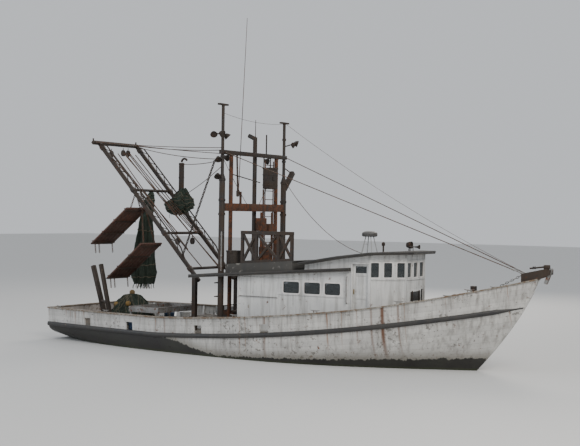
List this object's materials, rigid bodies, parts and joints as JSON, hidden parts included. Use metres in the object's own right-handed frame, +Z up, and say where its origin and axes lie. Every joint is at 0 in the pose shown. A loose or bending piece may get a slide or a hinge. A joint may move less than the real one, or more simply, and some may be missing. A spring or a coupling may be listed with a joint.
{
  "type": "fishing trawler",
  "caption": "Small wooden shrimp trawler with a goalpost gantry, a lattice boom leaning aft, hung trawl boards and net, and a house forward",
  "frame": {"origin": "on the centreline at the waterline, amidships", "axes": "+X to the bow, +Y to port, +Z up"},
  "size_m": [18.0718, 5.476, 13.0405],
  "materials": {
    "white_paint": "weathered matt white paint on planking, stained by rust",
    "black_paint": "worn matt black paint",
    "bottom_paint": "dark antifouling paint",
    "deck_paint": "scuffed grey deck paint on planks",
    "dark_steel": "black-brown painted steel with rust",
    "rusty_steel": "rusted steel",
    "wire_rope": "greased wire rope",
    "galvanised_steel": "dull galvanised",
    "engine_iron": "painted cast iron",
    "bronze": "dull bronze",
    "wood": "wet dark planks",
    "white_plastic": "satin",
    "net": "tarred knotted net"
  },
  "bodies": {
    "boat": {"hull": "white_paint", "keel": "bottom_paint", "engine": "engine_iron", "deck_aft": "deck_paint", "deck_hatchway": "deck_paint", "deck_forward": "deck_paint", "bulwark_port": "white_paint", "bulwark_port_bow": "white_paint", "bulwark_starboard": "white_paint", "bulwark_starboard_bow": "white_paint", "bulwark_transom": "white_paint", "rub_rail_port": "black_paint", "rub_rail_starboard": "black_paint", "deckhouse_side_starboard": "white_paint", "deckhouse_side_port": "white_paint", "deckhouse_aft_wall": "white_paint", "mast_starboard": "dark_steel", "mast_port": "dark_steel", "gantry_top_bar": "dark_steel", "gantry_inner_frame": "rusty_steel", "deckhouse_roof": "black_paint", "wheelhouse_roof": "black_paint", "wheelhouse_front": "white_paint", "helm_console": "wood", "roof_platform": "black_paint", "roof_rail_starboard": "dark_steel", "exhaust_stack": "rusty_steel", "whip_antenna": "white_plastic", "radar": "white_plastic", "forestay_starboard": "wire_rope", "forestay_port": "wire_rope", "boom_post_starboard": "dark_steel", "boom_post_port": "dark_steel", "net_pile": "net", "winch_frame": "dark_steel", "windlass_frame": "dark_steel", "hatch_coaming": "white_paint", "sorting_tray": "galvanised_steel", "bow_roller": "dark_steel", "anchor": "galvanised_steel", "stern_posts": "wood"},
    "rudder": {"rudder": "bottom_paint"},
    "propeller": {"propeller": "bronze"},
    "aft_door": {"aft_door": "white_paint"},
    "door_starboard": {"wheelhouse_door_starboard": "white_paint"},
    "door_port": {"wheelhouse_door_port": "white_paint"},
    "winch_drums": {"winch_drums": "rusty_steel"},
    "windlass_drum": {"windlass_drum": "rusty_steel"},
    "hatch_lid": {"hatch_lid": "wood"},
    "boom": {"boom_rail_starboard": "dark_steel", "boom_rail_port": "rusty_steel", "boom_bar_1": "dark_steel", "boom_bar_2": "dark_steel", "boom_bar_3": "dark_steel", "boom_bar_4": "dark_steel"},
    "hung_gear": {"net_bundle": "net", "trawl_door_upper": "wood", "trawl_door_lower": "wood"}
  },
  "joints": [
    {"name": "rudder_turn", "type": "hinge", "parent": "boat", "child": "rudder", "pos_m": [-7.25, 0, -1], "axis": [0, 0, 1], "range_deg": [-35, 35]},
    {"name": "propeller_spin", "type": "hinge", "parent": "boat", "child": "propeller", "pos_m": [-6.76, 0, -1.13], "axis": [1, 0, 0], "continuous": true},
    {"name": "aft_door_swing", "type": "hinge", "parent": "boat", "child": "aft_door", "pos_m": [0, -0.95, 1.7], "axis": [0, 0, 1], "range_deg": [0, 100]},
    {"name": "door_starboard_slide", "type": "slide", "parent": "boat", "child": "door_starboard", "axis": [-0.9953, -0.0969, 0], "range_m": [0, 0.52]},
    {"name": "door_port_slide", "type": "slide", "parent": "boat", "child": "door_port", "axis": [-0.9953, 0.0969, 0], "range_m": [0, 0.52]},
    {"name": "winch_spin", "type": "hinge", "parent": "boat", "child": "winch_drums", "pos_m": [-1.25, 0, 1.08], "axis": [0, 1, 0], "continuous": true},
    {"name": "windlass_spin", "type": "hinge", "parent": "boat", "child": "windlass_drum", "pos_m": [6.9, 0, 2.09], "axis": [0, 1, 0], "continuous": true},
    {"name": "hatch_lid_swing", "type": "hinge", "parent": "boat", "child": "hatch_lid", "pos_m": [-3.07, 0, 0.972], "axis": [0, -1, 0], "range_deg": [0, 100]},
    {"name": "boom_lift", "type": "hinge", "parent": "boat", "child": "boom", "pos_m": [-2.3, 0, 2.35], "axis": [0, 1, 0], "range_deg": [0, 10]},
    {"name": "gear_hang", "type": "hinge", "parent": "boom", "child": "hung_gear", "pos_m": [-5.28498, 0, 5.4321], "axis": [0, 1, 0], "range_deg": [-10, 0]}
  ],
  "couplings": [
    {"joint": "gear_hang", "follows": "boom_lift", "ratio": -1}
  ]
}
